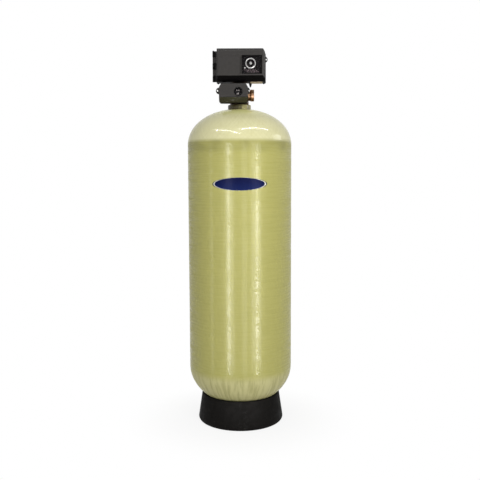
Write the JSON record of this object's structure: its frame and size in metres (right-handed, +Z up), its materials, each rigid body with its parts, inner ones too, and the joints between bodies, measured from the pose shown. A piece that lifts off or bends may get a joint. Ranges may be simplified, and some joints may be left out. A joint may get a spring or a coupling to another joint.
{
  "type": "acid neutralizing filter",
  "caption": "Wound glass-fibre pressure tank on a black moulded boot, with calcite media and a brass backwash valve with two black drive boxes.",
  "frame": {"origin": "on the floor, on the axis of the tank", "axes": "+Z up along the tank, -Y out of the front with the label and the covers, +X to the right seen from the front"},
  "size_m": [0.616, 0.6171, 2.2153],
  "materials": {
    "wound_resin": "glossy clear resin over yellow-green wound glass fibre",
    "boot_black": "satin moulded black",
    "label_navy": "glossy navy film with a silver rim",
    "pipe_white": "extruded white plastic",
    "gravel_grey": "rounded washed gravel",
    "calcite_white": "crushed white calcite",
    "valve_brass": "sand-cast brass, machined faces",
    "seal_rubber": "black rubber",
    "steel": "turned stainless steel",
    "housing_black": "satin moulded black",
    "cover_charcoal": "satin moulded charcoal with a light sheen",
    "clear_pane": "clear polished plastic",
    "gear_white": "natural moulded acetal",
    "motor_zinc": "zinc-plated sheet",
    "dial_dark": "dark moulded plastic",
    "dial_silver": "bright turned aluminium",
    "button_bright": "bright plated"
  },
  "bodies": {
    "filter": {"tank_shell": "wound_resin", "tank_boot": "boot_black", "front_label": "label_navy", "riser_tube": "pipe_white", "upper_diffuser": "pipe_white", "distributor_hub": "pipe_white", "lateral_1": "pipe_white", "lateral_2": "pipe_white", "lateral_3": "pipe_white", "lateral_4": "pipe_white", "lateral_5": "pipe_white", "lateral_6": "pipe_white", "lateral_7": "pipe_white", "lateral_8": "pipe_white", "gravel_bed": "gravel_grey", "calcite_bed": "calcite_white", "tank_adapter": "valve_brass", "neck_seal_ring": "seal_rubber", "valve_body": "valve_brass", "upper_end_plug": "valve_brass", "lower_end_plug": "valve_brass", "upper_seal_cage": "gear_white", "lower_seal_cage": "gear_white", "upper_gear_axle": "steel", "lower_gear_axle": "steel", "upper_drive_bracket": "motor_zinc", "lower_drive_bracket": "motor_zinc", "upper_drive_motor": "motor_zinc", "lower_drive_motor": "motor_zinc", "upper_cam_switch": "dial_dark", "lower_cam_switch": "dial_dark", "upper_back_box": "housing_black", "hinge_pin": "steel", "timer_face_plate": "dial_dark", "timer_case": "motor_zinc", "cord_gland": "seal_rubber", "lower_back_box": "housing_black", "lower_cover": "cover_charcoal", "porthole_pane": "clear_pane", "lower_left_screw": "steel", "lower_right_screw": "steel"},
    "cover": {"upper_cover": "cover_charcoal", "window_pane": "clear_pane", "cover_screw": "steel"},
    "dial": {"dial_disc": "dial_dark", "dial_ring": "dial_silver"},
    "knob": {"manual_knob": "dial_silver"},
    "button": {"set_button": "button_bright"},
    "upper_gear": {"upper_drive_gear": "gear_white"},
    "upper_pinion": {"upper_pinion": "steel"},
    "upper_piston": {"upper_piston": "steel", "upper_piston_rod": "steel", "upper_yoke": "gear_white"},
    "lower_gear": {"lower_drive_gear": "gear_white", "position_drum": "dial_dark"},
    "lower_pinion": {"lower_pinion": "steel"},
    "lower_piston": {"lower_piston": "steel", "lower_piston_rod": "steel", "lower_yoke": "gear_white"}
  },
  "joints": [
    {"name": "cover_hinge", "type": "hinge", "parent": "filter", "child": "cover", "pos_m": [-0.15, -0.0495, 2.1187], "axis": [0, 0, -1], "range_deg": [0, 110]},
    {"name": "dial_turn", "type": "hinge", "parent": "filter", "child": "dial", "pos_m": [0.0655, -0.1252, 2.1312], "axis": [0, -1, 0], "continuous": true},
    {"name": "knob_turn", "type": "hinge", "parent": "filter", "child": "knob", "pos_m": [0.0655, -0.1252, 2.1312], "axis": [0, -1, 0], "continuous": true},
    {"name": "button_press", "type": "slide", "parent": "filter", "child": "button", "axis": [0, 1, 0], "range_m": [0, 0.0025], "stiffness_N_per_m": 400},
    {"name": "upper_gear_turn", "type": "hinge", "parent": "filter", "child": "upper_gear", "pos_m": [-0.01, -0.086, 2.1187], "axis": [1, 0, 0], "range_deg": [0, 181]},
    {"name": "upper_pinion_turn", "type": "hinge", "parent": "filter", "child": "upper_pinion", "pos_m": [-0.01, -0.06725, 2.08622], "axis": [1, 0, 0], "range_deg": [-465, 0]},
    {"name": "upper_piston_slide", "type": "slide", "parent": "filter", "child": "upper_piston", "axis": [0, -1, 0], "range_m": [0, 0.03]},
    {"name": "lower_gear_turn", "type": "hinge", "parent": "filter", "child": "lower_gear", "pos_m": [0.0145, -0.112, 1.9697], "axis": [1, 0, 0], "range_deg": [0, 181]},
    {"name": "lower_pinion_turn", "type": "hinge", "parent": "filter", "child": "lower_pinion", "pos_m": [0.0145, -0.09325, 1.93722], "axis": [1, 0, 0], "range_deg": [-465, 0]},
    {"name": "lower_piston_slide", "type": "slide", "parent": "filter", "child": "lower_piston", "axis": [0, -1, 0], "range_m": [0, 0.03]}
  ],
  "couplings": [
    {"joint": "upper_gear_turn", "follows": "upper_piston_slide", "rad_per_m": 104.72},
    {"joint": "upper_pinion_turn", "follows": "upper_piston_slide", "rad_per_m": -269.28},
    {"joint": "lower_gear_turn", "follows": "lower_piston_slide", "rad_per_m": 104.72},
    {"joint": "lower_pinion_turn", "follows": "lower_piston_slide", "rad_per_m": -269.28}
  ]
}
